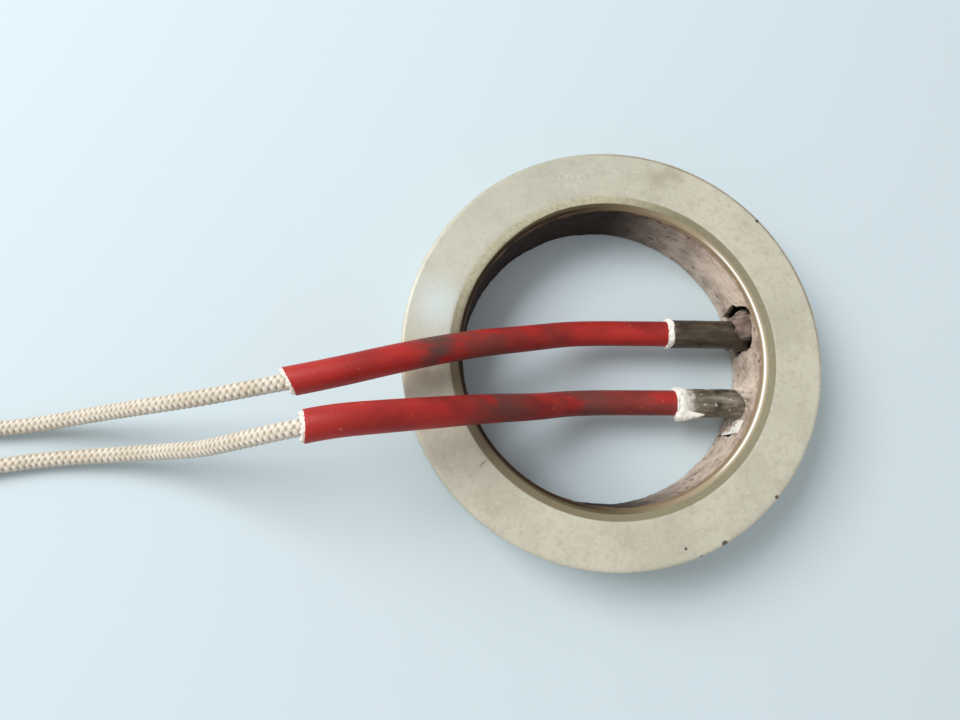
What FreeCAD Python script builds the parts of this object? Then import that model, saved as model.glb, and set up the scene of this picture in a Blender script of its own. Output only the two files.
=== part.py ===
"""Cast-in ring heater: an aluminium ring with a tubular element cast into it, and two sleeved leads.

Millimetres. The ring lies on its back face with its axis on +Z, and the origin is the centre of that face.
The element goes round inside the ring. Both its ends bend inwards through the bore wall on the +X side, the
upper one in a pocket, and the leads run on from them towards -X, over the ring and down to the surface it
lies on.
The casting is solid round the hidden stretch of the element: only its two bent ends are modelled.
"""
import FreeCAD
import Part

import math
import os

# Ring casting
ring_outer_diameter = 90.0
ring_height = 15.5
rim_chamfer = 0.2              # broken outer edges, and the edge of the bore at the back
bore_back_radius = 31.7        # as cast, with draft: the bore opens towards the front
bore_throat_radius = 32.2      # where the cast wall meets the turned mouth
mouth_step_radius = 33.5       # between the mouth's two facets
mouth_face_radius = 34.9       # where the mouth meets the front face
mouth_step_depth = 0.5
mouth_throat_depth = 1.4

# Tubular element
sheath_diameter = 6.3
sheath_wall = 0.7
element_cover = 3.35           # metal between the element and the ring's outside
element_ring_radius = ring_outer_diameter / 2 - element_cover - sheath_diameter / 2
element_height = 7.0           # centreline above the back face
elbow_radius = 7.0             # centreline of each end's bend
elbow_stub = 3.0               # degrees of the ring stretch that are modelled beyond each bend
sheath_sides = 12              # the bent sheath is drawn with flat sides
filling_length = 11.0          # how far the filling of each straight end goes in from its mouth

# Terminal stack in each straight end
pin_diameter = 2.2
plug_depth = 2.0               # how far a seal goes into the sheath
pin_reach = 5.0                # how far a pin stands out of its seal
ferrule_diameter = 3.4
ferrule_gap = 1.5              # between a seal and the crimped ferrule
ferrule_length = 8.5
conductor_diameter = 1.8

# Leads, sleeves and the crimped pins on the leads' ends
lead_diameter = 3.3
cord_sides = 6                 # leads and sleeves are drawn with flat sides too
sleeve_bore = 4.0
sleeve_wall = 0.9              # white liner and red coat
barrel_diameter = 3.7
barrel_length = 7.0
tip_diameter = 1.9
tip_length = 10.0

# Pocket that the casting core leaves round the upper elbow: its depth from the bore at the back, and its
# outline across and above the end's axis
pocket_depth = 2.1
pocket_outline = [
    (-3.4, -3.8), (-3.7, 1.6), (-2.4, 5.0), (1.2, 5.6),
    (4.2, 6.6), (6.2, 2.2), (5.7, -4.4), (2.0, -5.4),
]

# Gap in the crook of the lower elbow, filled with cement: how far it goes above, below and outside the
# end's axis, and how far the cement lies behind the bore at the back
crook_above = 3.7
crook_below = 5.3
crook_outside = 6.8
crook_setback = 0.2
crook_wall = 0.2               # between the cement and the sheath

# Each end of the element: its place across the bore, where its sheath ends along X, how far the seal
# stands out of it, and the seal's diameter and its overlap on the sheath
ends = {
    "upper": {
        "y": 6.0,
        "mouth": 15.2,
        "seal_length": 1.4,
        "seal_diameter": 6.4,
        "seal_skirt": 0.0,
    },
    "lower": {
        "y": -9.6,
        "mouth": 16.0,
        "seal_length": 1.0,
        "seal_diameter": 7.2,
        "seal_skirt": 2.6,
    },
}

# Routes of the leads after the straight stretch that each one leaves its ferrule with: the points inside
# the sleeve, and the bare ones to the crimped pin. Each sleeve ends halfway to the first bare point.
floor_height = barrel_diameter / 2   # centreline of a lead on the surface that the ring lies on
straight_out = -6.3            # where each lead begins to rise
sleeved = {
    "upper": [(-18, 3.5, 12.2), (-30, 0.7, 19.6), (-43, -2.8, 24.6), (-58, -6.9, 26.8)],
    "lower": [
        (-16.2, -11.3, 12.4), (-26.5, -12.6, 20.9), (-37.5, -14.2, 28), (-47.2, -15.4, 32),
        (-55.8, -16.4, 34.1),
    ],
}
bare = {
    "upper": [
        (-72, -9.5, 25.4), (-84, -11.2, 21.4), (-97, -12.2, 14.8), (-110, -13.2, 7.8), (-123, -14.9, 3),
        (-137, -16.2, floor_height), (-151, -15.9, floor_height), (-170, -13.4, floor_height),
        (-191, -13.6, floor_height), (-212, -18.4, floor_height), (-232.5, -22.5, floor_height),
    ],
    "lower": [
        (-64.4, -18.1, 33), (-73.8, -19.6, 27.2), (-84, -20.8, 17.6), (-95, -20.8, 9.1), (-107, -21.3, 4),
        (-120, -22, floor_height), (-134, -24, floor_height), (-148, -27.2, floor_height),
        (-167, -33.6, floor_height), (-187, -38.3, floor_height), (-207, -38.4, floor_height),
        (-226, -35.2, floor_height),
    ],
}


def vector(x, y, z):
    return FreeCAD.Vector(x, y, z)


def cylinder(radius, start, end, centre):
    """A cylinder along X between two places, about an axis at (y, z)."""
    y, z = centre
    return Part.makeCylinder(radius, abs(end - start), vector(min(start, end), y, z), vector(1, 0, 0))


def leg_axis(name):
    """Where an end of the element lies across X."""
    return ends[name]["y"], element_height


def seal_face(name):
    """Where the seal of an end stops along X."""
    return ends[name]["mouth"] - ends[name]["seal_length"]


def ferrule_span(name):
    """Back and front of the crimped ferrule along X. The lead's insulation begins at its front."""
    back = seal_face(name) - ferrule_gap
    return back, back - ferrule_length


def rounded_route(points, last_run=1.0):
    """Straight runs joined by tangent arcs, each arc as large as its two runs allow. Prints each radius.

    The path stops after a share of its last run."""
    points = [vector(*p) for p in points]
    edges = []
    at = points[0]
    for before, corner, after in zip(points, points[1:], points[2:]):
        back = (before - corner).normalize()
        ahead = (after - corner).normalize()
        turn = math.pi - back.getAngle(ahead)
        if turn < 1e-6:
            continue
        length = 0.45 * min(corner.distanceToPoint(before), corner.distanceToPoint(after))
        radius = length / math.tan(turn / 2)
        print("  arc radius %.1f, turn %.1f degrees" % (radius, math.degrees(turn)))
        start = corner + back * length
        end = corner + ahead * length
        inward = (back + ahead).normalize()
        middle = corner + inward * (radius / math.cos(turn / 2) - radius)
        edges.append(Part.LineSegment(at, start).toShape())
        edges.append(Part.Arc(start, middle, end).toShape())
        at = end
    end = points[-2] + (points[-1] - points[-2]) * last_run
    edges.append(Part.LineSegment(at, end).toShape())
    return Part.Wire(edges)


def flat_sided(radius, centre, sides):
    """A polygon across X with its corners on a circle."""
    step = 2 * math.pi / sides
    corners = []
    for i in range(sides):
        angle = (i + 0.5) * step
        corners.append(centre + vector(0, radius * math.cos(angle), radius * math.sin(angle)))
    return Part.makePolygon(corners + corners[:1])


def cord(path, radius):
    """A flat-sided solid along a path that starts along X, with the area of a round one across it."""
    step = 2 * math.pi / cord_sides
    corner_radius = radius * math.sqrt(step / math.sin(step))
    section = flat_sided(corner_radius, path.OrderedVertexes[0].Point, cord_sides)
    solid = path.makePipeShell([section], True, False)
    expected = math.pi * radius**2 * path.Length
    print("  length %.1f, volume over section times length %.4f" % (path.Length, solid.Volume / expected))
    return solid


def elbow_centre(name):
    """The bend's centre: its centreline touches the end's axis and the element's ring."""
    y = ends[name]["y"]
    y += math.copysign(elbow_radius, y)
    reach = element_ring_radius - elbow_radius
    return vector(math.sqrt(reach**2 - y**2), y, element_height)


def bent_end(name):
    """One end of the element as a solid: in from its mouth, round the bend and on round the ring."""
    mouth = ends[name]["mouth"]
    bend = elbow_centre(name)
    side = math.copysign(1, bend.y)
    angle = math.atan2(bend.y, bend.x)
    section = Part.Face(flat_sided(sheath_diameter / 2, vector(mouth, *leg_axis(name)), sheath_sides))
    leg = section.extrude(vector(bend.x - mouth, 0, 0))

    up = vector(0, 0, 1)
    section.translate(vector(bend.x - mouth, 0, 0))
    turn = math.degrees(angle) + side * 90
    elbow = section.revolve(bend, up, turn)
    section.rotate(bend, up, turn)
    stub = section.revolve(vector(0, 0, element_height), up, side * elbow_stub)
    return leg.fuse([elbow, stub]).removeSplitter()


def ring_blank():
    """The turned ring, before the element and its pockets."""
    outer = ring_outer_diameter / 2
    top = ring_height
    profile = [
        (bore_back_radius + rim_chamfer, 0),
        (outer - rim_chamfer, 0),
        (outer, rim_chamfer),
        (outer, top - rim_chamfer),
        (outer - rim_chamfer, top),
        (mouth_face_radius, top),
        (mouth_step_radius, top - mouth_step_depth),
        (bore_throat_radius, top - mouth_throat_depth),
        (bore_back_radius, rim_chamfer),
    ]
    corners = [vector(r, 0, z) for r, z in profile]
    face = Part.Face(Part.makePolygon(corners + corners[:1]))
    return face.revolve(vector(0, 0, 0), vector(0, 0, 1), 360)


def pocket():
    """The hole that the core leaves in the bore wall round the upper elbow."""
    y, z = leg_axis("upper")
    corners = [vector(0, y + across, z + up) for across, up in pocket_outline]
    reach = bore_back_radius + pocket_depth
    outline = Part.Face(Part.makePolygon(corners + corners[:1]))
    return outline.extrude(vector(reach, 0, 0)).common(Part.makeCylinder(reach, ring_height))


def crook():
    """The gap between the lower elbow, inside its bend, and the bore."""
    centre = elbow_centre("lower")
    radius = elbow_radius - sheath_diameter / 2 - crook_wall
    bottom = element_height - crook_below
    height = crook_below + crook_above
    outside = ends["lower"]["y"] - crook_outside
    round_gap = Part.makeCylinder(radius, height, vector(centre.x, centre.y, bottom))
    side = Part.makeBox(ring_outer_diameter, ring_outer_diameter, height, vector(0, outside, bottom))
    return round_gap.common(side)


def build_end(name):
    """The sheath of one end, with its filling, pin, seal and the ferrule on the pin."""
    end, axis = ends[name], leg_axis(name)
    bore_radius = sheath_diameter / 2 - sheath_wall
    inside = end["mouth"] + filling_length
    seal_inside = end["mouth"] + plug_depth
    face = seal_face(name)
    back, front = ferrule_span(name)
    pin_tip = face - pin_reach

    pin = cylinder(pin_diameter / 2, pin_tip, inside, axis)
    plug = cylinder(bore_radius, seal_inside, inside, axis)
    seal = cylinder(end["seal_diameter"] / 2, face, end["mouth"] + end["seal_skirt"], axis)
    seal = seal.cut(cylinder(sheath_diameter / 2, end["mouth"], inside, axis))
    seal = seal.fuse(cylinder(bore_radius, face, seal_inside, axis)).removeSplitter()
    ferrule = cylinder(ferrule_diameter / 2, front, back, axis)
    ferrule = ferrule.cut(cylinder(pin_diameter / 2, pin_tip, back, axis))
    return {
        "element_sheath_" + name: bent_end(name).cut(cylinder(bore_radius, end["mouth"], inside, axis)),
        "terminal_pin_" + name: pin,
        "mgo_plug_" + name: plug.cut(pin),
        "end_seal_" + name: seal.cut(pin),
        "crimp_ferrule_" + name: ferrule.cut(cylinder(conductor_diameter / 2, front, pin_tip, axis)),
        "conductor_" + name: cylinder(conductor_diameter / 2, front, pin_tip, axis),
    }


def build_casting():
    """The ring with its pocket, its crook and the channel of each bent end, and the cement in the crook."""
    ring = ring_blank().cut(pocket()).cut(crook())
    for name in ends:
        ring = ring.cut(bent_end(name))
    cement = crook().cut(Part.makeCylinder(bore_back_radius + crook_setback, ring_height))
    return {"ring_casting": ring, "pocket_cement_lower": cement}


def build_lead(name):
    """One lead with its sleeve and crimped pin."""
    y, z = leg_axis(name)
    straight = (straight_out, y, z)
    route = [(ferrule_span(name)[1], y, z), straight] + sleeved[name] + bare[name]
    covered = [(seal_face(name), y, z), straight] + sleeved[name] + bare[name][:1]
    sleeve_path = rounded_route(covered, last_run=0.5)

    tail, tip = vector(*route[-2]), vector(*route[-1])
    along = (tip - tail).normalize()
    barrel = Part.makeCylinder(barrel_diameter / 2, barrel_length, tip, along)
    pin = Part.makeCylinder(tip_diameter / 2, tip_length, tip + along * barrel_length, along)
    return {
        "lead_" + name: cord(rounded_route(route), lead_diameter / 2),
        "sleeve_" + name: cord(sleeve_path, sleeve_bore / 2 + sleeve_wall).cut(
            cord(sleeve_path, sleeve_bore / 2)),
        "pin_terminal_" + name: barrel.fuse(pin),
    }


def main():
    parts = build_casting()
    for name in ends:
        print("lead", name)
        parts.update(build_end(name))
        parts.update(build_lead(name))
    os.makedirs("parts", exist_ok=True)
    for node, shape in parts.items():
        shape.exportStep("parts/%s.step" % node)
        box = shape.optimalBoundingBox()
        print("%-22s %d solid(s) valid=%s volume %.1f z %.2f..%.2f" % (
            node, len(shape.Solids), shape.isValid(), shape.Volume, box.ZMin, box.ZMax))


main()
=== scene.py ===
# %% [markdown]
# A cast-in ring heater: an aluminium ring with a tubular heating element cast into it. Both ends of the
# element bend inwards through the bore wall, and each one carries a glass-braided lead in a dark red
# sleeve. The solids come from the CAD frame. This script dresses them: it works out finer surfaces with
# numpy, gives every piece a procedural finish, and sets up a floor, soft light and a camera. Sizes here are
# in mm and angles in degrees until they reach Blender, which takes metres and radians.

# %% Load the frame
import math

import bpy
import numpy as np
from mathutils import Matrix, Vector


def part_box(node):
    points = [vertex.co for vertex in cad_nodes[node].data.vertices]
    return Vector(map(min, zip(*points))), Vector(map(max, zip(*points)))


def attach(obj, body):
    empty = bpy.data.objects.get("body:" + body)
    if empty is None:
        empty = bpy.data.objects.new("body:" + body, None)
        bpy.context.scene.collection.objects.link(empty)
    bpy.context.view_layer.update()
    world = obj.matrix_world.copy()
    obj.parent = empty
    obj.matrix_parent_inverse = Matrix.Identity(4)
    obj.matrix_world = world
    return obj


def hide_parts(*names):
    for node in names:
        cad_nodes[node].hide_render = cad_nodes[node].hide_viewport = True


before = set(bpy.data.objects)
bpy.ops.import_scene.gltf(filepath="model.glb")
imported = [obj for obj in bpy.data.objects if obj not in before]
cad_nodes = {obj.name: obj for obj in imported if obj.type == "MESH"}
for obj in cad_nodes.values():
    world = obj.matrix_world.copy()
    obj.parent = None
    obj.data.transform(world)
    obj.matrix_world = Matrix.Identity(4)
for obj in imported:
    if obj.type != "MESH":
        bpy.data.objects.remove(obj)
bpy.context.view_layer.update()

mm = 0.001
ring_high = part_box("ring_casting")[1]
print(len(cad_nodes), "solids")

# %% [markdown]
# The camera comes first, because every look is judged through it. It could be tied to a target, but two
# plain angles are easier to read. It hangs over the ring, a little towards the leads' side, and leans back
# by ten degrees, so that the far wall of the bore shows. Its lens is a wide one, close to the object, which
# opens the bore like a funnel.

# %% Camera
camera_place = (-37.77, -28.34, 163.93)
camera_lean = 10.08
camera_roll = -3.57
lens_length = 27.19
sensor_width = 36.0

camera_data = bpy.data.cameras.new("camera")
camera_data.sensor_width = sensor_width
camera_data.lens = lens_length
camera_data.clip_start = 0.01
camera = bpy.data.objects.new("camera", camera_data)
camera.location = np.array(camera_place) * mm
camera.rotation_euler = (math.radians(camera_lean), math.radians(camera_roll), 0)
bpy.context.scene.collection.objects.link(camera)
bpy.context.scene.camera = camera
bpy.context.scene.view_settings.view_transform = "Standard"
print("camera at", camera_place, "with a lens of", lens_length, "mm")

# %% [markdown]
# Real cords are smooth. A lead could follow straight runs between many points, but its bends would show as
# corners. Here each route is a short list of points, and a quadratic NURBS curve with those points as its
# controls gives one even line through the air and along the floor. Blender samples the curve, and the
# samples become the centreline that the sleeve and the braid are swept along.

# %% Routes of the leads
element_height = 7.0
lead_diameter = 3.3
barrel_diameter = 3.7
floor_height = barrel_diameter / 2
curve_samples = 24

# The leg's Y, and the X of the seal's face, of the lead's start inside it and of the end of its straight run
leg = {"upper": 6.0, "lower": -9.6}
seal_face = {"upper": 13.8, "lower": 15.0}
lead_start = {"upper": 3.8, "lower": 5.0}
straight_end = -6.3
routes = {
    "upper": [
        (-18, 3.5, 12.2), (-30, 0.7, 19.6), (-43, -2.8, 24.6), (-58, -6.9, 26.8), (-72, -9.5, 25.4),
        (-84, -11.2, 21.4), (-97, -12.2, 14.8), (-110, -13.2, 7.8), (-123, -14.9, 3),
        (-137, -16.2, floor_height), (-151, -15.9, floor_height), (-170, -13.4, floor_height),
        (-191, -13.6, floor_height), (-212, -18.4, floor_height), (-232.5, -22.5, floor_height),
    ],
    "lower": [
        (-16.2, -11.3, 12.4), (-26.5, -12.6, 20.9), (-37.5, -14.2, 28), (-47.2, -15.4, 32),
        (-55.8, -16.4, 34.1), (-64.4, -18.1, 33), (-73.8, -19.6, 27.2), (-84, -20.8, 17.6), (-95, -20.8, 9.1),
        (-107, -21.3, 4), (-120, -22, floor_height), (-134, -24, floor_height), (-148, -27.2, floor_height),
        (-167, -33.6, floor_height), (-187, -38.3, floor_height), (-207, -38.4, floor_height),
        (-226, -35.2, floor_height),
    ],
}


def smooth_route(points):
    """Samples of the quadratic NURBS curve whose controls are the points, in mm."""
    data = bpy.data.curves.new("route", "CURVE")
    data.dimensions = "3D"
    spline = data.splines.new("NURBS")
    spline.points.add(len(points) - 1)
    spline.points.foreach_set("co", np.c_[np.array(points, float), np.ones(len(points))].ravel())
    spline.order_u = 3
    spline.use_endpoint_u = True
    spline.resolution_u = curve_samples
    holder = bpy.data.objects.new("route", data)
    mesh = bpy.data.meshes.new_from_object(holder)
    line = np.empty(len(mesh.vertices) * 3)
    mesh.vertices.foreach_get("co", line)
    bpy.data.objects.remove(holder)
    bpy.data.curves.remove(data)
    bpy.data.meshes.remove(mesh)
    return line.reshape(-1, 3)


def distances(line):
    """Distance along a polyline to each of its points."""
    return np.r_[0, np.cumsum(np.linalg.norm(np.diff(line, axis=0), axis=1))]


centreline = {}
for end in leg:
    straight = [(x, leg[end], element_height) for x in (lead_start[end], straight_end)]
    centreline[end] = smooth_route(straight + routes[end])
    print(end, "lead: %.1f mm" % distances(centreline[end])[-1])

# %% [markdown]
# Nearly every new piece is a grid: one parameter runs along it, the other round it. A curve with a bevel
# could make a plain tube, but a grid lets every point take its own radius, which is what wear, dents and
# braid need. The helpers here turn such a grid into a mesh, and carry a round profile along a line. None of
# the lines runs straight up, so a sideways direction square to the line and to the vertical gives a frame
# that never flips.

# %% Grids and tubes
def signed_volume(points, quads, caps):
    """Volume inside a grid's faces: the sum of a . (b x c) / 6 over triangles, minus if they face inwards.

    Caps are counted as fans round their middles."""
    middle = points.reshape(-1, 3).mean(0)
    corner = points.reshape(-1, 3)[quads] - middle
    first = np.einsum("ij,ij->i", corner[:, 0], np.cross(corner[:, 1], corner[:, 2]))
    second = np.einsum("ij,ij->i", corner[:, 0], np.cross(corner[:, 2], corner[:, 3]))
    volume = (first + second).sum()
    if caps:
        for rim in (points[0] - middle, points[-1][::-1] - middle):
            volume += (np.cross(rim, np.roll(rim, -1, axis=0)) @ rim.mean(0)).sum()
    return volume / 6


def grid_mesh(name, points, wrap_along=False, caps=False, fields=None):
    """Mesh of a grid of points (along, round, xyz) in mm, closed round, and closed along or capped if asked.

    fields are values on the grid, kept as attributes for the material. Faces that would point inwards are
    turned round."""
    rows, columns = points.shape[:2]
    number = np.arange(rows * columns).reshape(rows, columns)
    if wrap_along:
        number = np.vstack([number, number[:1]])
    number = np.hstack([number, number[:, :1]])
    quads = np.stack([number[:-1, :-1], number[1:, :-1], number[1:, 1:], number[:-1, 1:]], -1)
    quads = quads.reshape(-1, 4)
    faces = quads.tolist()
    if caps:
        faces.append(np.arange(columns).tolist())
        faces.append((np.arange(columns)[::-1] + (rows - 1) * columns).tolist())
    mesh = bpy.data.meshes.new(name)
    if signed_volume(points, quads, caps) < 0:
        faces = [face[::-1] for face in faces]
    mesh.from_pydata((points.reshape(-1, 3) * mm).tolist(), [], faces)
    mesh.polygons.foreach_set("use_smooth", np.ones(len(faces), bool))
    for field, values in (fields or {}).items():
        attribute = mesh.attributes.new(field, "FLOAT", "POINT")
        attribute.data.foreach_set("value", values.astype(np.float32).ravel())
    mesh.update()
    print("%-18s %6d faces" % (name, len(faces)))
    return mesh


def sampled(line, at):
    """Points of a polyline at distances along it. Below zero it runs straight on backwards."""
    along = distances(line)
    points = np.stack([np.interp(at, along, line[:, k]) for k in range(3)], -1)
    start = (line[0] - line[1]) / np.linalg.norm(line[0] - line[1])
    return points + np.maximum(-at, 0)[..., None] * start


def tube(line, at, round_angle, radius):
    """Grid of a tube: centre + radius x (cos(angle) side + sin(angle) up), for each distance and angle."""
    step = 0.2  # mm to either side, for the heading
    heading = sampled(line, at + step) - sampled(line, at - step)
    end = at > distances(line)[-1] - step
    heading[end] = (line[-1] - line[-2]) / np.linalg.norm(line[-1] - line[-2])
    heading /= np.linalg.norm(heading, axis=-1, keepdims=True)
    side = np.cross([0, 0, 1.0], heading)
    side /= np.linalg.norm(side, axis=-1, keepdims=True)
    up = np.cross(heading, side)
    spoke = np.cos(round_angle)[..., None] * side + np.sin(round_angle)[..., None] * up
    return sampled(line, at) + radius[..., None] * spoke


def ripple(points, size, seed):
    """Smooth lumps of about -1 to 1: a sum of sine waves in random directions, of about the given size."""
    waves = 14
    random = np.random.default_rng(seed)
    direction = random.normal(size=(waves, 3))
    direction *= (random.uniform(0.6, 1.5, waves) / np.linalg.norm(direction, axis=1))[:, None]
    phase = random.uniform(0, 2 * math.pi, waves)
    return np.sin(points @ direction.T * (2 * math.pi / size) + phase).sum(-1) / math.sqrt(waves)


def smooth_step(low, high, value):
    """0 at low, 1 at high and t x t x (3 - 2 t) at a share t between them. low may be the larger one."""
    share = np.clip((value - low) / (high - low), 0, 1)
    return share * share * (3 - 2 * share)


def circle_steps(count):
    """Angles once round, without the last one."""
    return np.arange(count) * (2 * math.pi / count)


def place(mesh, slot, *nodes):
    """Puts a mesh into the scene on the root body, and hides the CAD nodes that it stands for."""
    piece = bpy.data.objects.new(mesh.name, mesh)
    bpy.context.scene.collection.objects.link(piece)
    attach(piece, "root")
    if nodes:
        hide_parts(*nodes)
    return piece


# %% [markdown]
# Shader nodes could be added and linked one by one, but the formula behind them would be lost among the
# links. Here a small class wraps a socket, and its operators add Math nodes, so a mask reads like a
# formula. A second class holds the material, and its one method adds any other node from its type, settings
# and inputs.

# %% Shader arithmetic
class Value:
    """A socket with arithmetic. Plain numbers may stand on either side."""

    def __init__(self, shader, socket):
        self.shader = shader
        self.socket = socket

    def math(self, operation, *others):
        return self.shader.node("ShaderNodeMath", {"operation": operation}, dict(enumerate((self,) + others)))

    def __add__(self, other):
        return self.math("ADD", other)

    def __mul__(self, other):
        return self.math("MULTIPLY", other)

    def __sub__(self, other):
        return self.math("SUBTRACT", other)

    def __rsub__(self, other):
        return self.shader.node("ShaderNodeMath", {"operation": "SUBTRACT"}, {0: other, 1: self})

    __radd__ = __add__
    __rmul__ = __mul__

    def between(self, low, high):
        """0 at low, 1 at high, smooth between. low may be the larger one."""
        return self.shader.node("ShaderNodeMapRange", {"interpolation_type": "SMOOTHSTEP"},
                                {"Value": self, "From Min": low, "From Max": high}, "Result")

    def near(self, centre, width):
        """1 at centre, falling to 0 at a width away on both sides."""
        return (self - centre).math("ABSOLUTE").between(width, 0)


class Finish:
    """A material with one Principled shader, built up by formulas."""

    def __init__(self, name):
        self.material = bpy.data.materials.new(name)
        self.material.use_nodes = True
        self.tree = self.material.node_tree
        self.surface = self.tree.nodes["Principled BSDF"]
        self.position = self.node("ShaderNodeTexCoord", {}, {}, "Object")

    def node(self, kind, settings, inputs, output=0):
        """Adds a node, sets it up, links or fills its inputs, and returns one output by number or name."""
        new = self.tree.nodes.new(kind)
        for key, value in settings.items():
            setattr(new, key, value)
        for key, value in inputs.items():
            if isinstance(value, Value):
                self.tree.links.new(value.socket, new.inputs[key])
            else:
                new.inputs[key].default_value = value
        return Value(self, new.outputs[output])

    def split(self):
        """X, Y and Z of the point, in mm."""
        inputs = {0: self.position, "Scale": 1 / mm}
        scaled = self.node("ShaderNodeVectorMath", {"operation": "SCALE"}, inputs)
        return [self.node("ShaderNodeSeparateXYZ", {}, {0: scaled}, k) for k in range(3)]

    def attribute(self, name):
        """A field that the mesh was built with."""
        return self.node("ShaderNodeAttribute", {"attribute_name": name}, {}, "Fac")

    def noise(self, size, detail=3.0, stretch=None, roughness=0.5):
        """Noise between 0 and 1, with lumps of a size in mm, drawn out by a stretch along each axis."""
        where = self.position
        if stretch:
            scale = tuple(1 / s for s in stretch)
            where = self.node("ShaderNodeVectorMath", {"operation": "MULTIPLY"}, {0: where, 1: scale})
        inputs = {"Vector": where, "Scale": 1 / (size * mm), "Detail": detail, "Roughness": roughness}
        return self.node("ShaderNodeTexNoise", {}, inputs, "Fac")

    def mix(self, share, first, second):
        """Colour between first and second by a share."""
        return self.node("ShaderNodeMix", {"data_type": "RGBA"}, {0: share, 6: first, 7: second}, 2)

    def bump(self, height, depth):
        """Normal from a height between 0 and 1 and a depth in mm."""
        return self.node("ShaderNodeBump", {}, {"Height": height, "Distance": depth * mm, "Strength": 1.0})

    def set(self, **sockets):
        """Links or fills inputs of the shader, with _ for a blank in a name."""
        for name, value in sockets.items():
            socket = self.surface.inputs[name.replace("_", " ")]
            if isinstance(value, Value):
                self.tree.links.new(value.socket, socket)
            else:
                socket.default_value = value
        print("%-18s %3d shader nodes" % (self.material.name, len(self.tree.nodes)))
        return self.material


def colour(red, green, blue):
    """A colour given as screen values of 0 to 255, as the linear one that shaders take."""
    share = np.array([red, green, blue]) / 255
    linear = np.where(share <= 0.04045, share / 12.92, ((share + 0.055) / 1.055) ** 2.4)
    return (*linear.tolist(), 1.0)


# %% [markdown]
# The floor is plain and pale. A small lamp would throw hard shadows, so one large square lamp stands on the
# leads' side, about as high as it is far, and a weak white sky fills the shadows: the far wall of the bore
# is lit, and the wall below the lamp stays dark.

# %% Floor and light
floor_size = 4.0
floor_drop = 0.0002
lamp_place = (-700, 380, 800)
lamp_target = (0, 0, 0)
lamp_side = 620
lamp_watts = 12.5
sky_strength = 0.55

bpy.ops.mesh.primitive_plane_add(size=floor_size, location=(0, 0, -floor_drop))
floor = bpy.context.object
floor.name = "floor"
floor.data.materials.append(Finish("floor").set(Base_Color=colour(198, 212, 218), Roughness=0.9))

lamp_data = bpy.data.lights.new("key", "AREA")
lamp_data.size = lamp_side * mm
lamp_data.energy = lamp_watts
lamp = bpy.data.objects.new("key", lamp_data)
lamp.location = Vector(lamp_place) * mm
away_from_target = lamp.location - Vector(lamp_target) * mm
lamp.rotation_euler = away_from_target.to_track_quat("Z", "Y").to_euler()
bpy.context.scene.collection.objects.link(lamp)

world = bpy.data.worlds.new("studio")
world.use_nodes = True
world.node_tree.nodes["Background"].inputs["Color"].default_value = (1, 1, 1, 1)
world.node_tree.nodes["Background"].inputs["Strength"].default_value = sky_strength
bpy.context.scene.world = world
print("lamp at", lamp_place, "mm,", lamp_watts, "W")

# %% [markdown]
# The ring is one closed surface: a profile of radius and height, carried round the axis. The CAD ring could
# be kept and roughened with a bump, but its outline would stay a clean circle, so the bore is shaped here.
# The outside, both faces and the mouth are turned, so they are smooth. The bore is as cast, so its radius
# gets soft lumps. On the leads' side the open pocket, with the lump of filling over the upper tube's end,
# and the crack beside the lower elbow are pressed into it as depths, and a shoulder stands out where the
# casting closed round the lower tube. The grid is fine there and coarse elsewhere.

# %% Ring casting
ring_radius = ring_high.x / mm
ring_height = ring_high.z / mm
rim_chamfer = 0.2
bore_back_radius = 31.7
bore_throat_radius = 32.2
mouth_step_radius = 33.5
mouth_face_radius = 34.9
mouth_step_depth = 0.5
mouth_throat_depth = 1.4
sheath_radius = 3.15

pocket_depth = 3.0
filling_height = 2.7
crack_depth = 1.6
shoulder_height = 2.7
shoulder_angle = -13.2
shoulder_depth = 6.6
fine_from, fine_to, fine_step = -36, 28, 0.25
coarse_step = 1.0

# Corners as degrees round the axis and height in mm from the front face
pocket_edge = [
    (4.0, -13.9), (4.1, -8.6), (4.9, -6.0), (6.8, -4.2), (11, -3.6), (15.2, -2.7), (17.8, -1.9),
    (19.6, -2.8), (21.4, -5.2), (22.8, -7.6), (22.0, -10.4), (20.8, -13.9),
]
filling_edge = [
    (4.9, -13.4), (5.2, -9.4), (6.2, -7.8), (6.9, -6.0), (8.0, -4.5), (11.5, -4.0), (15, -3.2),
    (17.4, -2.6), (18.2, -4.4), (19.2, -6.2), (19.8, -8.0), (19.0, -10.4), (18.0, -13.4),
]
crack_line = [(-31.0, -15.5), (-30.4, -12), (-30.9, -9.2), (-29.6, -6.6), (-28.6, -5.6)]


def edge_distance(angle, depth, outline, closed=True):
    """Distance in mm from points of the bore to the nearest run of an outline, negative inside a closed one.

    A point is inside where a line drawn to one side of it crosses the outline an odd number of times."""
    corners = np.array(outline, float)
    corners[:, 0] = np.radians(corners[:, 0]) * bore_back_radius
    across = angle * bore_back_radius
    following = np.roll(corners, -1, axis=0) if closed else corners[1:]
    nearest = np.full(angle.shape, np.inf)
    crossings = np.zeros(angle.shape, int)
    for (u0, v0), (u1, v1) in zip(corners, following):
        run = np.array([u1 - u0, v1 - v0])
        share = np.clip(((across - u0) * run[0] + (depth - v0) * run[1]) / (run @ run), 0, 1)
        nearest = np.minimum(nearest, np.hypot(across - u0 - share * run[0], depth - v0 - share * run[1]))
        if closed and v0 != v1:
            beside = across < u0 + (depth - v0) / (v1 - v0) * (u1 - u0)
            crossings += ((v0 > depth) != (v1 > depth)) & beside
    return np.where(crossings % 2 == 1, -nearest, nearest)


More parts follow.
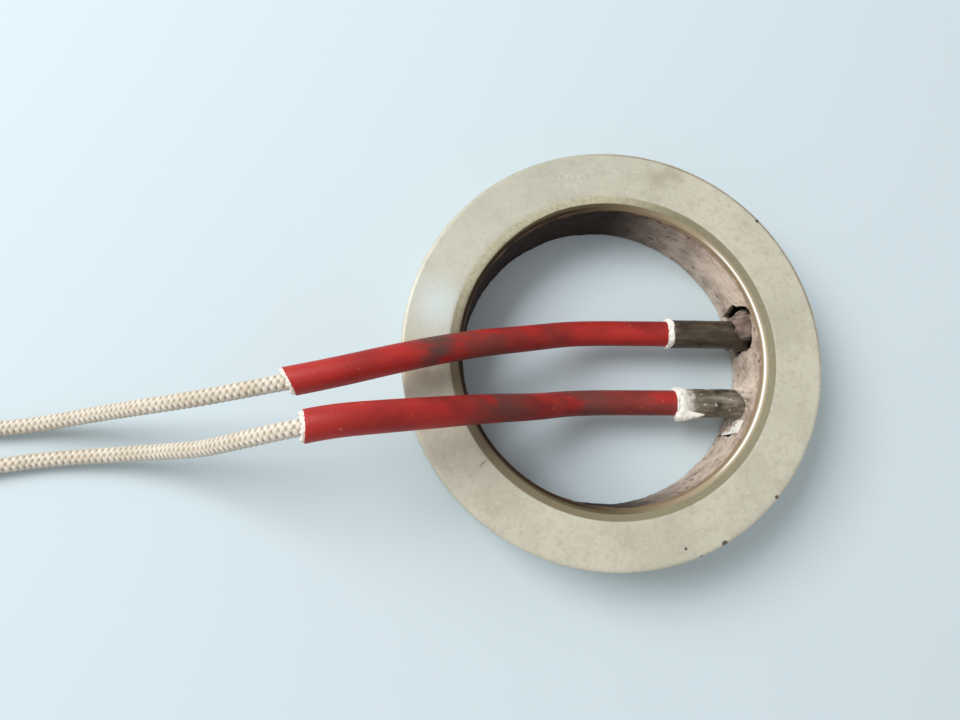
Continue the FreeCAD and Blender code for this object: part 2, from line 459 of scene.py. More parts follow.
def ring_profile():
    """Rows of radius, height and 1 on the cast wall, in straight runs from the bore's back edge round."""
    top = ring_height
    corners = [
        (bore_back_radius, rim_chamfer, 88, 1), (bore_throat_radius, top - mouth_throat_depth, 6, 0),
        (mouth_step_radius, top - mouth_step_depth, 4, 0), (mouth_face_radius, top, 14, 0),
        (ring_radius - rim_chamfer, top, 3, 0), (ring_radius, top - rim_chamfer, 16, 0),
        (ring_radius, rim_chamfer, 3, 0), (ring_radius - rim_chamfer, 0, 8, 0),
        (bore_back_radius + rim_chamfer, 0, 3, 0),
    ]
    rows = []
    for (r0, z0, steps, cast), (r1, z1, _, _) in zip(corners, corners[1:] + corners[:1]):
        share = np.arange(steps) / steps
        rows.append(np.stack([r0 + (r1 - r0) * share, z0 + (z1 - z0) * share, np.full(steps, cast)], -1))
    return np.concatenate(rows)


def turned(radius, angle, height):
    """Points (radius x cos(angle), radius x sin(angle), height)."""
    height = np.broadcast_to(height, angle.shape)
    return np.stack([radius * np.cos(angle), radius * np.sin(angle), height], -1)


def ring_surface():
    """Radius = profile + casting lumps + depth of the pocket and crack - shoulder, round an axis along Z.

    Also gives two fields, the dark gaps and the filling, for the material."""
    fine = np.arange(fine_from, fine_to, fine_step)
    coarse = np.arange(fine_to, fine_from + 360, coarse_step)
    angle = np.radians(np.concatenate([fine, coarse]))[None, :]
    rows = ring_profile()
    radius, height, cast = rows[:, 0:1], rows[:, 1:2], rows[:, 2:3]
    angle = np.broadcast_to(angle, (len(rows), angle.shape[1]))
    degrees = np.degrees(angle)
    at = turned(radius, angle, height)
    depth = np.broadcast_to(height - ring_height, angle.shape)
    wobble = np.radians(0.6) * ripple(at, 3.0, 3)
    fade = smooth_step(0, 1.2, -depth - mouth_throat_depth + 0.6)

    pocket = smooth_step(0.22, -0.22, edge_distance(angle + wobble, depth, pocket_edge))
    filled = pocket * smooth_step(0.30, -0.40, edge_distance(angle - wobble, depth, filling_edge))
    mound = filling_height * smooth_step(0.15, -1.0, edge_distance(angle, depth, filling_edge))
    gap = pocket_depth * (pocket - filled) - (mound + 0.45 * ripple(at, 2.3, 4)) * filled
    crack_at = edge_distance(angle + 0.7 * wobble, depth, crack_line, closed=False)
    crack = crack_depth * smooth_step(0.7, 0.2, crack_at)
    lumps = 0.10 * ripple(at, 7.0, 5) + 0.05 * ripple(at, 2.0, 6) + 0.025 * ripple(at, 0.9, 7)
    around_tubes = np.exp(-((degrees + 20) / 9) ** 2) * 0.12 * ripple(at, 1.6, 8)
    across = (degrees - shoulder_angle) * math.radians(bore_back_radius)
    oval = np.exp(-(across / 2.3) ** 2 - ((depth + shoulder_depth) / 2.8) ** 2)
    shoulder = shoulder_height * oval * (1 + 0.15 * ripple(at, 1.8, 9))
    change = cast * fade * (gap + crack + lumps + around_tubes - shoulder)
    fields = {"gap": cast * (pocket - filled + smooth_step(0.2, 0.9, crack)), "filling": cast * filled}
    return turned(radius + change, angle, height), fields


ring_points, ring_fields = ring_surface()
ring_mesh = grid_mesh("ring", ring_points, wrap_along=True, fields=ring_fields)
ring = place(ring_mesh, "ring_casting", "ring_casting")

# %% [markdown]
# A bent end of the element is a tube: a straight leg, a quarter bend and a short stretch of the big ring.
# The CAD tube has flat sides, which would show against the light, so a round one is made. Its centreline is
# worked out from arcs, and the radius gets very small waves, as a rolled and bent tube has.

# %% Sheaths
element_ring_radius = 38.5
elbow_radius = 7.0
stub_angle = 5
mouth = {"upper": 15.2, "lower": 16.0}
sheath_step = 0.25
tube_sides = 72


def bent_line(end):
    """Centreline of a bent end: a line from its mouth, then arcs about the elbow's and the ring's centres."""
    side = 1 if leg[end] > 0 else -1
    centre_y = leg[end] + side * elbow_radius
    centre_x = math.sqrt((element_ring_radius - elbow_radius) ** 2 - centre_y**2)
    angle = math.atan2(centre_y, centre_x)
    straight = np.linspace([mouth[end], leg[end]], [centre_x, leg[end]], 16)
    bend = np.linspace(-side * math.pi / 2, angle, 24)[1:]
    stub = np.linspace(angle, angle + side * math.radians(stub_angle), 6)[1:]
    elbow = np.stack([centre_x + elbow_radius * np.cos(bend), centre_y + elbow_radius * np.sin(bend)], -1)
    around = element_ring_radius * np.stack([np.cos(stub), np.sin(stub)], -1)
    flat = np.concatenate([straight, elbow, around])
    return np.c_[flat, np.full(len(flat), element_height)]


sheaths = {}
for end in leg:
    line = bent_line(end)
    at = np.arange(0, distances(line)[-1], sheath_step)[:, None]
    at, round_angle = np.broadcast_arrays(at, circle_steps(tube_sides)[None, :])
    smooth = tube(line, at, round_angle, np.full(at.shape, sheath_radius))
    radius = sheath_radius + 0.025 * ripple(smooth, 5.0, 11) + 0.012 * ripple(smooth, 1.2, 12)
    mesh = grid_mesh("sheath_" + end, tube(line, at, round_angle, radius), caps=True)
    sheaths[end] = place(mesh, "element_sheath", "element_sheath_" + end)

# %% [markdown]
# The seals are white cement pressed into the tube's mouth by hand. They could be sculpted, but a formula
# gives the same shape on each run. Each one is a short turned skin whose edge on the tube wanders, and
# which bulges where the cement squeezed out. The lower one has a long smear underneath.

# %% Seals
seal_sides = 96
seal_rows = 34


def seal_grid(end, reach, thickness, seed):
    """Skin round X from the seal's face: radius = tube + thickness, falling under the tube at an uneven edge.

    reach(angle) is how far the skin goes, and thickness(angle) how thick it is at the face. The face is rings
    that shrink towards the axis."""
    share = np.linspace(0, 1, seal_rows)[:, None]
    share, angle = np.broadcast_arrays(share, circle_steps(seal_sides)[None, :])
    x = seal_face[end] + reach(angle) * share
    skin = thickness(angle) * (1 - share**3) - 0.12 * share**3
    flat = np.stack([x, np.cos(angle) * sheath_radius, np.sin(angle) * sheath_radius], -1)
    rough = 0.10 * ripple(flat, 1.4, seed) + 0.05 * ripple(flat, 0.6, seed + 1)
    radius = sheath_radius + skin + rough * (1 - share)
    x = x + 0.12 * ripple(flat, 1.6, seed + 2) * (1 - share)

    shrink = np.linspace(0.98, 0.35, 7)[:, None]
    x = np.concatenate([x[:1] + 0.25 * shrink, x])
    radius = np.concatenate([radius[:1] * (1 - shrink), radius])
    angle = np.broadcast_to(angle[:1], x.shape)
    return np.stack([x, leg[end] + radius * np.cos(angle), element_height + radius * np.sin(angle)], -1)


def bump_at(angle, centre, width):
    """1 in one direction round the tube, falling off over a width in radians."""
    turn = np.angle(np.exp(1j * (angle - centre)))
    return np.exp(-(turn / width) ** 2)


# Reach and thickness of each skin in mm, by the angle round the tube
seal_shape = {
    "upper": (lambda a: 1.25 + 0.2 * np.sin(3 * a + 1) + 0.4 * bump_at(a, 0.9, 0.4),
              lambda a: 0.06 + 0.34 * bump_at(a, 0.35, 0.45)),
    "lower": (lambda a: 2.3 + 0.5 * np.sin(3 * a + 0.4) + 4.0 * bump_at(a, 2.62, 0.22),
              lambda a: 0.34 + 0.85 * bump_at(a, 2.8, 0.45)),
}
seal_seed = {"upper": 20, "lower": 25}
seals = {}
for end, (reach, thickness) in seal_shape.items():
    mesh = grid_mesh("seal_" + end, seal_grid(end, reach, thickness, seal_seed[end]), caps=True)
    seals[end] = place(mesh, "cement", "end_seal_" + end)

# %% [markdown]
# A sleeve is a length of silicone-coated glass sleeving, cut aslant from a roll: a thin tube with a white
# lining, whose ragged rim stands out of the coat at the cut end. A tube with a Solidify modifier would be
# quick, but its rim would be square. So the grid goes out along the coat, over the rim, back along the bore
# and over the other rim, and the wall is closed. The tube is a little flattened and swells where the braid
# fills it.

# %% Sleeves
sleeve_bore_radius = 2.0
coat_radius = 2.9
liner_radius = 2.68
liner_reach = 0.65
coat_rows = 240
bore_rows = 60
fray_height = 0.12
sleeve_end_x = {"upper": -65.4, "lower": -61.0}
sleeve_swell = {"upper": (0.965, 1.02), "lower": (0.955, 1.075)}
cut_slope = {"upper": 0.34, "lower": -0.10}
cut_rake = {"upper": 0.25, "lower": 0.40}

# Rows of each rim: mm past the cut, share of the wall's thickness, and 1 on the lining
liner_share = (liner_radius - sleeve_bore_radius) / (coat_radius - sleeve_bore_radius)
far_rim = np.array([
    (0.03, 0.97, 0), (0.04, 0.8, 0), (0, liner_share + 0.02, 1), (0.12, liner_share, 1),
    (0.28, liner_share, 1), (liner_reach, liner_share - 0.08, 1), (liner_reach + 0.03, 0.3, 1),
    (liner_reach, 0, 1),
])
near_rim = np.array([(0, 0, 1), (-0.06, 0.35, 1), (-0.06, 0.7, 1), (0, 1, 0)])


def distance_at_x(line, x):
    """Distance along a centreline to where it passes an X."""
    return np.interp(-x, -line[:, 0], distances(line))


def rows_along(at, wall, lining):
    """Rows at distances along the sleeve, all with one share of the wall and one value of the lining."""
    return np.stack([at, np.full(len(at), wall), np.full(len(at), lining)], -1)


def sleeve_grid(end):
    """Radius = coat x swell along the sleeve x a slight oval. The far end is aslant, with a frayed lining."""
    line = centreline[end]
    near = lead_start[end] - seal_face[end]
    far = distance_at_x(line, sleeve_end_x[end])
    rows = np.concatenate([
        rows_along(np.linspace(near, far, coat_rows), 1, 0), far_rim + (far, 0, 0),
        rows_along(np.linspace(far, near, bore_rows)[1:-1], 0, 1), near_rim + (near, 0, 0),
    ])
    at, wall, lining = rows[:, 0:1], rows[:, 1:2], rows[:, 2:3]
    angle = circle_steps(tube_sides)[None, :]
    share = (at - near) / (far - near)
    first, last = sleeve_swell[end]
    coat = coat_radius * (first + (last - first) * smooth_step(0.1, 0.9, share))
    oval = 1 + 0.02 * np.cos(2 * (angle - 0.4 - 1.5 * share)) + 0.008 * np.sin(9 * share + angle)
    radius = sleeve_bore_radius + (coat * oval - sleeve_bore_radius) * wall
    lean = cut_slope[end] * np.cos(angle) + cut_rake[end] * np.sin(angle)
    cut = smooth_step(0.92, 1.0, share) * radius * lean
    ragged = fray_height * (np.sin(7 * angle) + np.sin(17 * angle + 2))
    fray = lining * smooth_step(0.99, 1.0, share) * ragged
    at, lining, angle = np.broadcast_arrays(at, lining, angle)
    return tube(line, at - cut + fray, angle, radius), {"along": at - near, "lining": lining}


sleeves = {}
for end in leg:
    points, fields = sleeve_grid(end)
    mesh = grid_mesh("sleeve_jacket_" + end, points, wrap_along=True, fields=fields)
    sleeves[end] = place(mesh, "sleeve_coat", "sleeve_" + end)

# %% [markdown]
# The lead's braid is real geometry, because a bump would leave the lead's outline smooth. Separate strands
# could be swept, but they would need far more faces. Here two families of strands wind round in opposite
# directions and pass over and under each other. On the tube's surface each family is a set of slanted
# lanes. A strand's height is a rounded lane plus a wave that lifts it over every second crossing, and the
# braid's surface is the higher of the two.

# %% Braided leads
strands = 4  # in each family
braid_pitch = 1.5
lead_radius = lead_diameter / 2
strand_relief = 0.28
lane_share = 0.60
wave_share = 0.40
sleeve_cover = 4
hidden_step = 1.0
bare_step = 0.13
braid_sides = 60


def braid_height(around, along):
    """Height up to 1 of a plain braid, and 1 where the right-hand family is on top, by turns and mm along."""
    right = strands * around + along / braid_pitch
    left = strands * around - along / braid_pitch
    right_lane, left_lane = np.round(right), np.round(left)
    right_round = np.cos(math.pi * (right - right_lane))
    left_round = np.cos(math.pi * (left - left_lane))
    right_top = lane_share * right_round + wave_share * np.cos(math.pi * (right_lane + left))
    left_top = lane_share * left_round - wave_share * np.cos(math.pi * (right + left_lane))
    return np.maximum(right_top, left_top), (right_top > left_top).astype(float)


def lead_grid(end):
    """Radius = lead with the braid's height taken off, coarse inside the sleeve and fine where it is bare."""
    line = centreline[end]
    length = distances(line)[-1]
    bare_from = distance_at_x(line, sleeve_end_x[end]) - sleeve_cover
    hidden, bare = np.arange(0, bare_from, hidden_step), np.arange(bare_from, length, bare_step)
    at = np.concatenate([hidden, bare, [length]])
    at, angle = np.broadcast_arrays(at[:, None], circle_steps(braid_sides)[None, :])
    around = angle / (2 * math.pi)
    uneven = 0.35 * ripple(np.stack([at, 0 * at, 0 * at], -1), 14.0, 31)
    height, family = braid_height(around + 0.02 * uneven, at + uneven)
    flat = tube(line, at, angle, np.full(at.shape, lead_radius))
    fuzz = 0.018 * ripple(flat, 0.5, 33)
    radius = lead_radius + 0.05 - strand_relief * (1 - np.clip(height, 0, 1)) + fuzz
    return tube(line, at, angle, radius), {"height": height, "family": family}


leads = {}
for end in leg:
    points, fields = lead_grid(end)
    mesh = grid_mesh("braid_" + end, points, caps=True, fields=fields)
    leads[end] = place(mesh, "lead_braid", "lead_" + end)

# %% [markdown]
# Each lead ends in a crimped pin. It could be cut from solids, but it is turned, so a radius at each
# distance gives all of it: a barrel with a rolled edge, three dents where the crimping tool closed on it, a
# shoulder and a rounded pin.

# %% Crimped pins
barrel_length = 7.0
shoulder_length = 1.2
tip_length = 10.0
tip_radius = 0.95
crimp_places = (1.7, 3.5, 5.3)
crimp_depth = 0.28
crimp_width = 0.55
pin_sides = 48


def pin_grid(end):
    """Radius along the pin: barrel, shoulder and tip, less a dent at each crimp, deepest in four places."""
    line = centreline[end]
    away = line[-1] - line[-2]
    away /= np.linalg.norm(away)
    total = barrel_length + tip_length
    straight = np.stack([line[-1], line[-1] + away * total])
    shoulder_end = barrel_length + shoulder_length
    at = np.concatenate([np.linspace(0, barrel_length, 90), np.linspace(barrel_length, shoulder_end, 16)[1:],
                         np.linspace(shoulder_end, total, 60)[1:]])
    barrel = barrel_diameter / 2
    radius = np.interp(at, [0, 0.01, 0.35, barrel_length - 0.3, barrel_length + 1.0, total - 1.2, total],
                       [barrel - 0.15, barrel - 0.02, barrel, barrel, tip_radius, tip_radius, 0.35])
    at, angle = np.broadcast_arrays(at[:, None], circle_steps(pin_sides)[None, :])
    dents = sum(np.exp(-((at - crimp_at) / crimp_width) ** 2) for crimp_at in crimp_places)
    radius = radius[:, None] - crimp_depth * dents * (0.35 + 0.65 * np.cos(2 * angle) ** 2)
    return tube(straight, at, angle, radius)


pins = {}
for end in leg:
    mesh = grid_mesh("crimped_pin_" + end, pin_grid(end), caps=True)
    pins[end] = place(mesh, "crimped_metal", "pin_terminal_" + end)

# %% [markdown]
# The casting has two skins. Its faces and mouth are turned: satin grey with a warm oxide, faint rings from
# the tool, small pits and some stains, with painted shade on the lamp's side and a painted shadow of the
# upper sleeve. A painted image could show all that, but it would stretch over the edges and blur close up.
# Noise that is read at each point's own place has neither fault. So each layer is a mask from noise, radius
# or direction, and it is mixed over the one below it, from wide clouds down to single marks.

# %% Turned faces
# X, Y and radius of each mark
edge_marks = (
    (32.9, 30.0, 0.5), (33.0, -30.0, 0.5), (21.5, -39.3, 0.8), (16.5, -41.9, 0.4), (13.3, -40.3, 0.4),
)
mark_tint = colour(64, 54, 42)


def stained_and_shadowed(m, x, y, skin, stains):
    """Skin with stains and painted shadows mixed in, each by fall-off along X x fall-off along Y x breaking
    noise x share.
    """
    for (middle_x, middle_y), (reach_x, reach_y), broken, share, tint in stains:
        skin = m.mix(x.near(middle_x, reach_x) * y.near(middle_y, reach_y) * broken * share, skin, tint)
    return skin


def face_skin(m, x, y, radius, grain, speck):
    """Base with clouds, grain, oxide, pits and glints, then stains, painted shade and shadow, a bluish patch,
    a scratch and marks at the rim.
    """
    blotch = m.noise(5, 3)
    skin = m.mix(m.noise(16, 4).between(0.35, 0.7), colour(204, 200, 182), colour(190, 186, 168))
    skin = m.mix(grain.between(0.48, 0.75) * 0.38, skin, colour(158, 151, 131))
    skin = m.mix(m.noise(3.2, 5, roughness=0.7).between(0.46, 0.66) * 0.28, skin, colour(168, 162, 144))
    skin = m.mix(speck.between(0.70, 0.80) * 0.5, skin, colour(122, 112, 92))
    skin = m.mix(m.noise(0.7, 2).between(0.68, 0.76) * 0.6, skin, colour(232, 228, 214))

    pale = ((-8.5, 38.5), (5, 4), m.noise(1.3, 4).between(0.48, 0.6), 0.8, colour(222, 218, 206))
    tan = ((12.6, 39.6), (6, 3.5), blotch.between(0.3, 0.55), 0.7, colour(148, 134, 108))
    # A pale bluish-grey patch on the face, left of the bore.
    bluish = ((-37.5, 10), (8, 10), blotch.between(-0.1, 0.5), 0.9, colour(198, 208, 206))
    # Painted shadow of the upper sleeve on the face, between the sleeves.
    painted_sleeve_shadow = ((-40, -3), (6, 6), blotch.between(0.3, 0.55), 0.6, colour(132, 116, 92))
    skin = stained_and_shadowed(m, x, y, skin, (pale, tan))
    # Painted shade: the face is greyed towards the upper left, on the lamp's side.
    painted_shade_towards_lamp = (y * 0.6 - x * 0.6).between(4, 44)
    skin = m.mix(painted_shade_towards_lamp * 0.5, skin, colour(172, 173, 160))
    skin = stained_and_shadowed(m, x, y, skin, (bluish, painted_sleeve_shadow))

    scratch = (x * 0.639 - y * 0.769).near(0, 0.28) * radius.near(36.3, 1.6) * x.between(0, -5)
    skin = m.mix(scratch * 0.8, skin, colour(112, 100, 82))
    far_side = (x * 0.7 + y * 0.7).between(24, 38)
    rim_line = radius.near(ring_radius - 0.4, 0.28) * far_side * blotch.between(0.2, 0.5)
    skin = m.mix(rim_line * 0.7, skin, colour(118, 100, 80))
    for mark_x, mark_y, reach in edge_marks:
        across, up = x - mark_x, y - mark_y
        mark = (across * across + up * up).math("SQRT").between(reach, reach * 0.6)
        skin = m.mix(mark * 0.85, skin, mark_tint)
    return skin


# %% [markdown]
# The mouth has two facets. The wide outer one is olive, with painted light and shade by direction: lighter
# towards the upper left, and darker towards the lower left, on the leads' side. The narrow inner one has
# painted light and shade round the ring, from dark brown on the left to light brown on the right, and painted
# shade near black on its inner part on the leads' side. Its edge shines on the side that faces the lamp. The
# soft lamp alone gives no such line, so it is coloured in where the light would catch the edge.

# %% Facets of the mouth
shine_radius = 32.98
shine_width = 0.28


def mouth_skin(m, x, y, radius, grain):
    """The outer facet outside mouth_step_radius and the inner one inside it, each with painted light and
    shade by direction.
    """
    # Painted light and shade: the olive is lighter towards the upper left and darker towards the lower left.
    olive = m.mix((y * 0.71 - x * 0.71).between(8, 30), colour(134, 128, 105), colour(196, 192, 164))
    olive = m.mix((x * -0.82 - y * 0.57).between(12, 32) * 0.85, olive, colour(120, 109, 88))
    olive = m.mix(grain.between(0.4, 0.75) * 0.45, olive, colour(118, 110, 84))

    throat = bore_throat_radius
    # Painted light and shade: the narrow facet runs from dark on the left to light on the right.
    narrow = m.mix(x.between(-4, 20), colour(92, 80, 58), colour(158, 144, 118))
    rust = radius.between(throat + 0.55, throat + 0.3) * x.between(-2, 14)
    narrow = m.mix(rust * 0.8, narrow, colour(112, 92, 70))
    # Painted shade: the inner part of the narrow facet goes near black on the leads' side.
    painted_facet_shade = x.between(2, -10) * radius.between(throat + 0.9, throat + 0.5)
    narrow = m.mix(painted_facet_shade, narrow, colour(48, 34, 25))
    narrow = m.mix(radius.near(shine_radius, shine_width) * x.between(19, 26), narrow, colour(250, 248, 240))

    wider_by_leads = radius + x.between(-10, -28) * 0.45
    inner = wider_by_leads.between(mouth_step_radius + 0.1, mouth_step_radius - 0.1)
    return m.mix(inner, olive, narrow)


# %% [markdown]
# The bore is as cast: pinkish beige oxide with pits, brighter with painted light where the lamp reaches it,
# dusted with cement round the lower tube, darker with painted shade on the leads' side, where the wall faces
# away from the lamp, and almost black in the gaps round the element. Shadow alone would leave the gaps grey,
# so the fields that shaped them also colour them.

# %% Cast bore
def bore_skin(m, x, y, z, throat_height, filling, gap):
    """Base with clouds and pits, then painted light, powder, painted shade and a dark tan edge by place, then
    the two fields.
    """
    cloud = m.noise(4, 5, roughness=0.6).between(0.35, 0.7)
    skin = m.mix(cloud, colour(205, 188, 172), colour(160, 142, 126))
    skin = m.mix(m.noise(1.6, 3).between(0.58, 0.72), skin, colour(118, 98, 84))
    lit_part = y.near(18, 13) * x.between(17, 25) * z.between(4, 9)
    skin = m.mix(lit_part * 0.9, skin, colour(232, 212, 192))
    round_tube = y.near(-9, 6.5) * z.near(8, 6) * x.between(24, 30)
    powder = m.noise(1.0, 5, roughness=0.7).between(0.42, 0.58)
    skin = m.mix(round_tube * 0.8, skin, m.mix(powder, colour(92, 83, 70), colour(204, 196, 184)))
    # Painted shade: the bore darkens almost to black towards the leads' side, where its wall faces away from
    # the lamp.
    skin = m.mix(x.between(24, 0) * 0.97, skin, colour(28, 14, 9))
    skin = m.mix(m.noise(0.8, 2).between(0.71, 0.78) * 0.8, skin, colour(62, 50, 44))
    edge_line = z.between(throat_height - 1.1, throat_height) * m.noise(3, 2).between(0.2, 0.55)
    skin = m.mix(edge_line * 0.75, skin, colour(124, 100, 74))

    clinker = m.mix(m.noise(2.2, 4).between(0.4, 0.62), colour(56, 43, 37), colour(120, 101, 90))
    skin = m.mix(filling * 0.85, skin, clinker)
    skin = m.mix(filling * m.noise(1.5, 3).between(0.60, 0.66) * 0.8, skin, colour(198, 186, 176))
    return m.mix(gap.between(0.05, 0.6), skin, colour(24, 15, 11))


# %% [markdown]
# Radius and height tell the skins apart. The pocket reaches out under the front face, further than the
# bore's radius does, so the fields help there. The same masks decide where the bump has turned rings or
# cast roughness, and how metallic the surface is.

# %% Finish of the casting
ring_phase = 21.0  # radians of the turned rings' wave for each mm of radius


def casting_finish():
    """Colour = face, mouth over it, bore over both. Bump = turned rings, or cast roughness in the bore."""
    m = Finish("ring_casting")
    x, y, z = m.split()
    radius = (x * x + y * y).math("SQRT")
    grain = m.noise(1.1, 4, roughness=0.6)
    speck = m.noise(0.45, 2)
    filling, gap = m.attribute("filling"), m.attribute("gap")
    throat_height = ring_height - mouth_throat_depth

    in_mouth = radius.between(mouth_face_radius + 0.2, mouth_face_radius - 0.1)
    in_mouth = in_mouth * z.between(throat_height - 0.9, throat_height - 0.1)
    in_pocket = (filling + gap).between(0, 0.03)
    in_bore = radius.between(bore_throat_radius + 0.55, bore_throat_radius + 0.25).math("MAXIMUM", in_pocket)
    in_bore = in_bore * z.between(throat_height + 0.15, throat_height - 0.05)

    skin = m.mix(in_mouth, face_skin(m, x, y, radius, grain, speck), mouth_skin(m, x, y, radius, grain))
    skin = m.mix(in_bore, skin, bore_skin(m, x, y, z, throat_height, filling, gap))

    rings = (radius * ring_phase + m.noise(2.6, 2) * 1.5).math("SINE") * 0.5 + 0.5
    turned_height = rings * 0.25 + grain * 0.45 + speck * 0.5
    cast_height = m.noise(1.3, 5, roughness=0.65)
    height = turned_height * (1 - in_bore) * 0.16 + cast_height * in_bore
    metal = (1 - in_bore) * (1 - in_mouth * 0.7) * 0.25
    rough = in_bore * 0.22 + grain * 0.08 + 0.45
    return m.set(Base_Color=skin, Metallic=metal, Roughness=rough, Normal=m.bump(height, 0.22),
                 Specular_IOR_Level=0.2)


ring.data.materials.append(casting_finish())

# %% [markdown]
# The element's sheath is a steel tube that the furnace has darkened: brown-black scale, rubbed grey in
# streaks along the tube, with flecks of cement left on it and cement powder by the seal. Even noise would
# look like stone, so the streaks come from noise drawn out along the tube. The lower tube is greyer, with
# painted shade in dark bands along its top and bottom edges.

# %% Finish of the sheaths
def sheath_finish(name, base, streak, fleck_from, powder_from, edge_shade_about=None):
    """Streaks, scale, flecks, two dark bands of painted shade along the tube's edges about a Y if it is
    given, and powder that fades beyond an X.
    """
    m = Finish(name)
    x, y, _ = m.split()
    streaks = m.noise(1.4, 4, stretch=(5, 1, 1), roughness=0.6)
    cloud = m.noise(3.2, 3)
    tint = m.mix(streaks.between(0.42, 0.72), base, streak)
    tint = m.mix(cloud.between(0.50, 0.72) * 0.75, tint, colour(38, 31, 25))
    fleck = m.noise(0.9, 3, stretch=(1.8, 1, 1)).between(fleck_from, fleck_from + 0.06)
    tint = m.mix(fleck, tint, colour(205, 198, 182))
    if edge_shade_about is not None:
        # Painted shade: dark bands along the tube's top and bottom edges.
        painted_edge_shade = y.near(edge_shade_about + 2.7, 1.5) * 0.7 + y.near(edge_shade_about - 2.9, 1.0) * 0.5
        tint = m.mix(painted_edge_shade * cloud.between(0.35, 0.6), tint, colour(52, 48, 38))
    powder = (x + m.noise(2.0, 5, roughness=0.65) * 6).between(powder_from + 3.6, powder_from + 1.2)
    tint = m.mix(powder * 0.85, tint, colour(226, 222, 210))
    rough = streaks * 0.25 + 0.32 + fleck * 0.3
    normal = m.bump(streaks * 0.6 + cloud * 0.4, 0.10)
    return m.set(Base_Color=tint, Metallic=0.35, Roughness=rough, Normal=normal)


dark_finish = sheath_finish("sheath_dark", colour(66, 55, 43), colour(96, 85, 70), 0.71, 14.0)
grey_finish = sheath_finish("sheath_grey", colour(100, 92, 76), colour(152, 143, 126), 0.64, 19.0,
                            edge_shade_about=leg["lower"])
sheaths["upper"].data.materials.append(dark_finish)
sheaths["lower"].data.materials.append(grey_finish)

# %% [markdown]
# Cement is chalk white and matt, with pores and a few dirty spots. Plain white would look like plastic, so
# fine noise darkens the pores and also sinks them. The same finish serves the seals and the filling in the
# crook of the lower elbow.

# %% Finish of the cement
def cement_finish():
    """White with dirt from wide noise and pores from fine noise, which is also the bump."""
    m = Finish("cement")
    pores = m.noise(0.7, 5, roughness=0.7)
    dirt = m.noise(1.8, 3).between(0.56, 0.74)
    tint = m.mix(dirt * 0.65, colour(246, 243, 234), colour(176, 164, 146))
    tint = m.mix(pores.between(0.62, 0.74) * 0.5, tint, colour(140, 128, 112))
    return m.set(Base_Color=tint, Roughness=0.85, Normal=m.bump(pores, 0.25))


cement = cement_finish()

# %% [markdown]
# The sleeve's coat is dark red silicone: a soft sheen, a fine skin of dust, and dull grey-brown patches
# where it was handled and heated. The patches could be placed by X, but each sleeve is bent, so they follow
# the distance along it that its mesh was built with. The lining that shows at the cut end is white glass
# weave.

# %% Finish of the sleeves
def sleeve_finish(name, patches):
    """Red with clouds, dust, scuffs and patches (mm along, reach, strength), brighter at the far end."""
    m = Finish(name)
    along = m.attribute("along")
    lining = m.attribute("lining")
    cloud = m.noise(7, 4, stretch=(1.8, 1, 1), roughness=0.6)
    dust = m.noise(1.0, 4, roughness=0.7)
    scuff = m.noise(0.7, 2, stretch=(1, 2.5, 1)).between(0.70, 0.76)
    red = m.mix(cloud.between(0.35, 0.68), colour(166, 37, 31), colour(128, 27, 25))
    red = m.mix(dust.between(0.58, 0.8) * 0.35, red, colour(178, 72, 60))
    smear = m.noise(5.5, 4, stretch=(2.6, 1, 1))
    for centre, reach, strength in patches:
        patch = along.near(centre, reach) * smear.between(0.34, 0.50)
        red = m.mix(patch * strength, red, colour(88, 56, 50))
    red = m.mix(along.between(62, 80) * 0.55, red, colour(180, 44, 36))
    red = m.mix(scuff * 0.5, red, colour(206, 130, 104))
    white = m.mix(m.noise(0.5, 3).between(0.35, 0.7), colour(240, 236, 226), colour(196, 188, 172))
    tint = m.mix(lining.between(0.35, 0.6), red, white)
    rough = dust * 0.2 + 0.42 + lining * 0.2
    height = dust * 0.5 + cloud * 0.5
    return m.set(Base_Color=tint, Roughness=rough, Normal=m.bump(height, 0.16), Specular_IOR_Level=0.3)


sleeve_patches = {
    "upper": ((56, 7, 1.0), (46, 15, 0.6), (28, 7, 0.25)),
    "lower": ((44, 13, 0.75), (20, 14, 0.8), (4, 12, 0.6)),
}
for end, patches in sleeve_patches.items():
    sleeves[end].data.materials.append(sleeve_finish("sleeve_" + end, patches))

# %% [markdown]
# Glass yarn is off-white, with painted shade in the grooves. Noise would put that shade anywhere, so the
# colour follows the height that the braid was built with, and one family of strands is a little darker than
# the other.

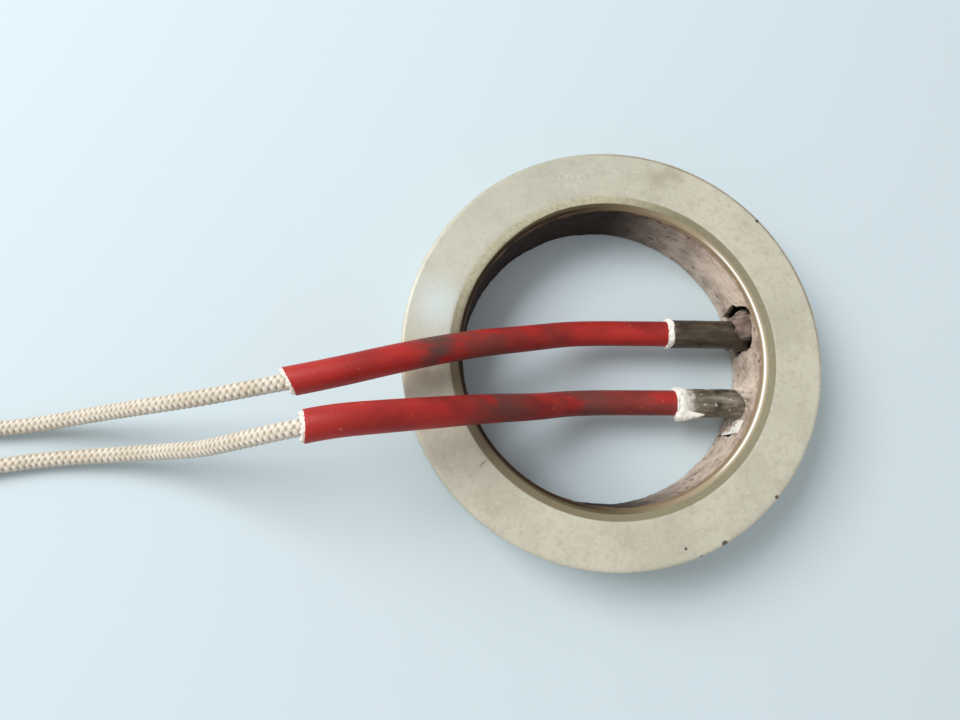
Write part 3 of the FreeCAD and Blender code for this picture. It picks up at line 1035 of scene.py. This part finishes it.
# %% Finish of the braid
def braid_finish():
    """Yarn with clouds, one family darker, then painted groove shade by height, and a very fine bump of
    fibres.
    """
    m = Finish("lead_braid")
    height = m.attribute("height")
    family = m.attribute("family")
    cloud = m.noise(5, 3)
    yarn = m.mix(cloud.between(0.3, 0.7), colour(222, 213, 199), colour(204, 194, 176))
    yarn = m.mix(family * 0.35, yarn, colour(186, 172, 148))
    # Painted shade: the grooves are darker, by the braid's height.
    tint = m.mix(height.between(0.80, 0.20) * 0.8, yarn, colour(130, 113, 88))
    return m.set(Base_Color=tint, Roughness=0.55, Normal=m.bump(m.noise(0.16, 2), 0.035), Sheen_Weight=0.2)


yarn = braid_finish()
for end in leg:
    leads[end].data.materials.append(yarn)

# %% [markdown]
# The crimped pins are tinned brass, dull with fine scratches. The small pieces inside the seals are never
# seen, but each one has a plain version of its own metal or powder, so that the model stays right when it
# is opened. They stay as the CAD made them and only get a material, because their shapes are simple and
# right.

# %% Finishes of the small pieces
def metal_finish(name, first, second, base_rough):
    """Two tints mixed by noise drawn out along X, which also roughens and scratches the surface."""
    m = Finish(name)
    scratch = m.noise(0.5, 3, stretch=(6, 1, 1))
    tint = m.mix(scratch.between(0.4, 0.7), first, second)
    rough = scratch * 0.2 + base_rough
    return m.set(Base_Color=tint, Metallic=0.9, Roughness=rough, Normal=m.bump(scratch, 0.02))


def powder_finish():
    """Off-white mixed by a very fine noise, which is also the bump."""
    m = Finish("filling")
    grit = m.noise(0.3, 3)
    tint = m.mix(grit, colour(232, 230, 224), colour(196, 192, 184))
    return m.set(Base_Color=tint, Roughness=0.9, Normal=m.bump(grit, 0.05))


tinned = metal_finish("crimped_metal", colour(206, 204, 196), colour(168, 165, 156), 0.28)
nickel = metal_finish("nickel_wire", colour(170, 166, 156), colour(130, 126, 118), 0.3)
powder = powder_finish()
inner_pieces = {"terminal_pin_": nickel, "conductor_": nickel, "crimp_ferrule_": tinned, "mgo_plug_": powder}
for end in leg:
    pins[end].data.materials.append(tinned)
    seals[end].data.materials.append(cement)
    for name, finish in inner_pieces.items():
        cad_nodes[name + end].material_slots[0].material = finish
cad_nodes["pocket_cement_lower"].material_slots[0].material = cement

# %% [markdown]
# The leads are free cords, which could lie another way. So where each lead leaves its ferrule is printed;
# the length of each was printed with its route.

# %% Cords
for end in leg:
    line = centreline[end] * mm
    print(end, "cord leaves at", [round(v, 4) for v in line[0]], "m")
